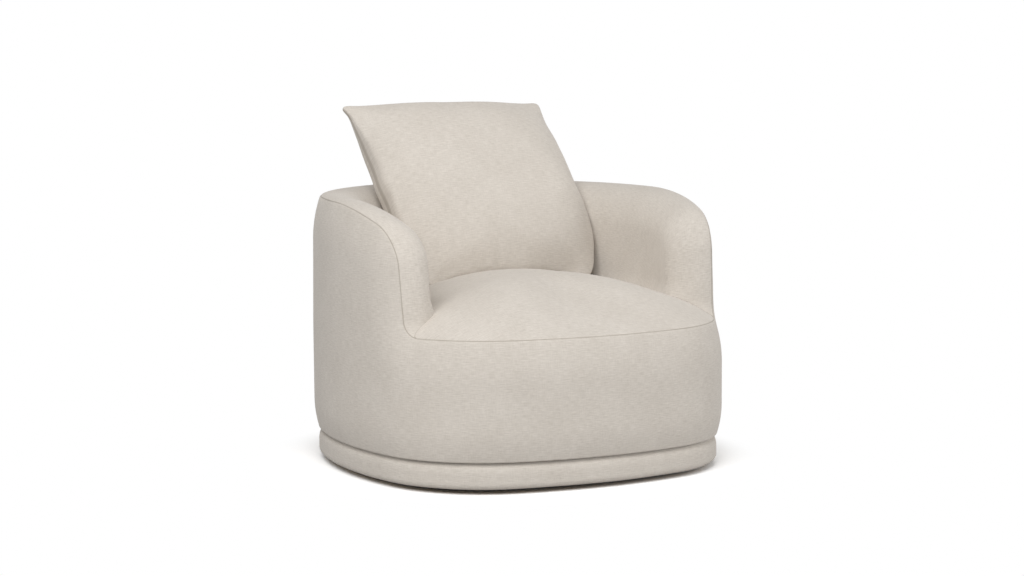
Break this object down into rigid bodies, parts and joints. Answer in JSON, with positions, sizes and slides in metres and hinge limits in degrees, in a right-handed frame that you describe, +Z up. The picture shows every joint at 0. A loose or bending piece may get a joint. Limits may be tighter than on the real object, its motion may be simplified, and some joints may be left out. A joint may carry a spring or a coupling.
{
  "type": "upholstered swivel chair",
  "caption": "Tub-shaped upholstered swivel lounge chair with a crowned tight seat, a wraparound arm and back wall, a covered base band and a loose square pillow.",
  "frame": {"origin": "on the floor, on the swivel axis, in the middle of the width and the depth", "axes": "+Z up along the swivel axis; the chair faces -Y; +X is to the right of someone who stands in front and looks at it"},
  "size_m": [0.95, 0.978, 0.874],
  "materials": {
    "oatmeal_weave": "matte",
    "foam": "matte",
    "wadding": "matte",
    "felt": "matte",
    "webbing": "matte",
    "black_lining": "matte",
    "plywood": "matte",
    "hardwood": "matte",
    "hardboard": "matte",
    "zinc_steel": "satin",
    "spring_steel": "satin",
    "ball_steel": "polished",
    "nylon": "satin"
  },
  "bodies": {
    "base": {"swivel_base_board": "plywood", "floor_glides": "nylon", "glide_screws": "zinc_steel", "lower_swivel_plate": "zinc_steel", "lower_plate_screws": "zinc_steel", "pivot_bolt": "zinc_steel", "pivot_washer": "nylon", "pivot_nut": "zinc_steel"},
    "ball_ring": {"ball_cage": "nylon", "bearing_balls": "ball_steel"},
    "tub": {"outer_cover": "oatmeal_weave", "inside_cover": "oatmeal_weave", "seat_cover": "oatmeal_weave", "band_cover": "oatmeal_weave", "seat_foam": "foam", "inside_foam": "foam", "band_foam": "foam", "outer_wadding": "wadding", "spring_felt": "felt", "back_webbing": "webbing", "dust_cover": "black_lining", "bottom_board": "plywood", "band_frame": "plywood", "seat_ring": "plywood", "top_rail": "plywood", "arm_board_left": "plywood", "arm_board_right": "plywood", "wall_rib_1": "plywood", "wall_rib_2": "plywood", "wall_rib_3": "plywood", "wall_rib_4": "plywood", "wall_rib_5": "plywood", "wall_rib_6": "plywood", "wall_rib_7": "plywood", "swivel_rail_left": "hardwood", "swivel_rail_right": "hardwood", "seat_post_1": "hardwood", "seat_post_2": "hardwood", "seat_post_3": "hardwood", "seat_post_4": "hardwood", "seat_post_5": "hardwood", "seat_post_6": "hardwood", "seat_post_7": "hardwood", "seat_post_8": "hardwood", "outer_liner": "hardboard", "upper_swivel_plate": "zinc_steel", "upper_plate_screws": "zinc_steel", "rail_bolts": "zinc_steel", "rail_nuts": "zinc_steel", "band_screws": "zinc_steel", "post_screws": "zinc_steel", "clip_screws": "zinc_steel", "top_rail_screws": "zinc_steel", "spring_clips": "zinc_steel", "seat_springs": "spring_steel"},
    "pillow": {"pillow_fill": "wadding", "pillow_cover": "oatmeal_weave"}
  },
  "joints": [
    {"name": "swivel", "type": "hinge", "parent": "base", "child": "tub", "pos_m": [0, 0, 0.0408], "axis": [0, 0, 1], "continuous": true},
    {"name": "cage_turn", "type": "hinge", "parent": "base", "child": "ball_ring", "pos_m": [0, 0, 0.0344], "axis": [0, 0, 1], "continuous": true},
    {"name": "pillow_lift", "type": "slide", "parent": "tub", "child": "pillow", "axis": [0, -0.5, 0.866], "range_m": [0, 0.45]}
  ],
  "couplings": [
    {"joint": "cage_turn", "follows": "swivel", "ratio": 0.5}
  ]
}
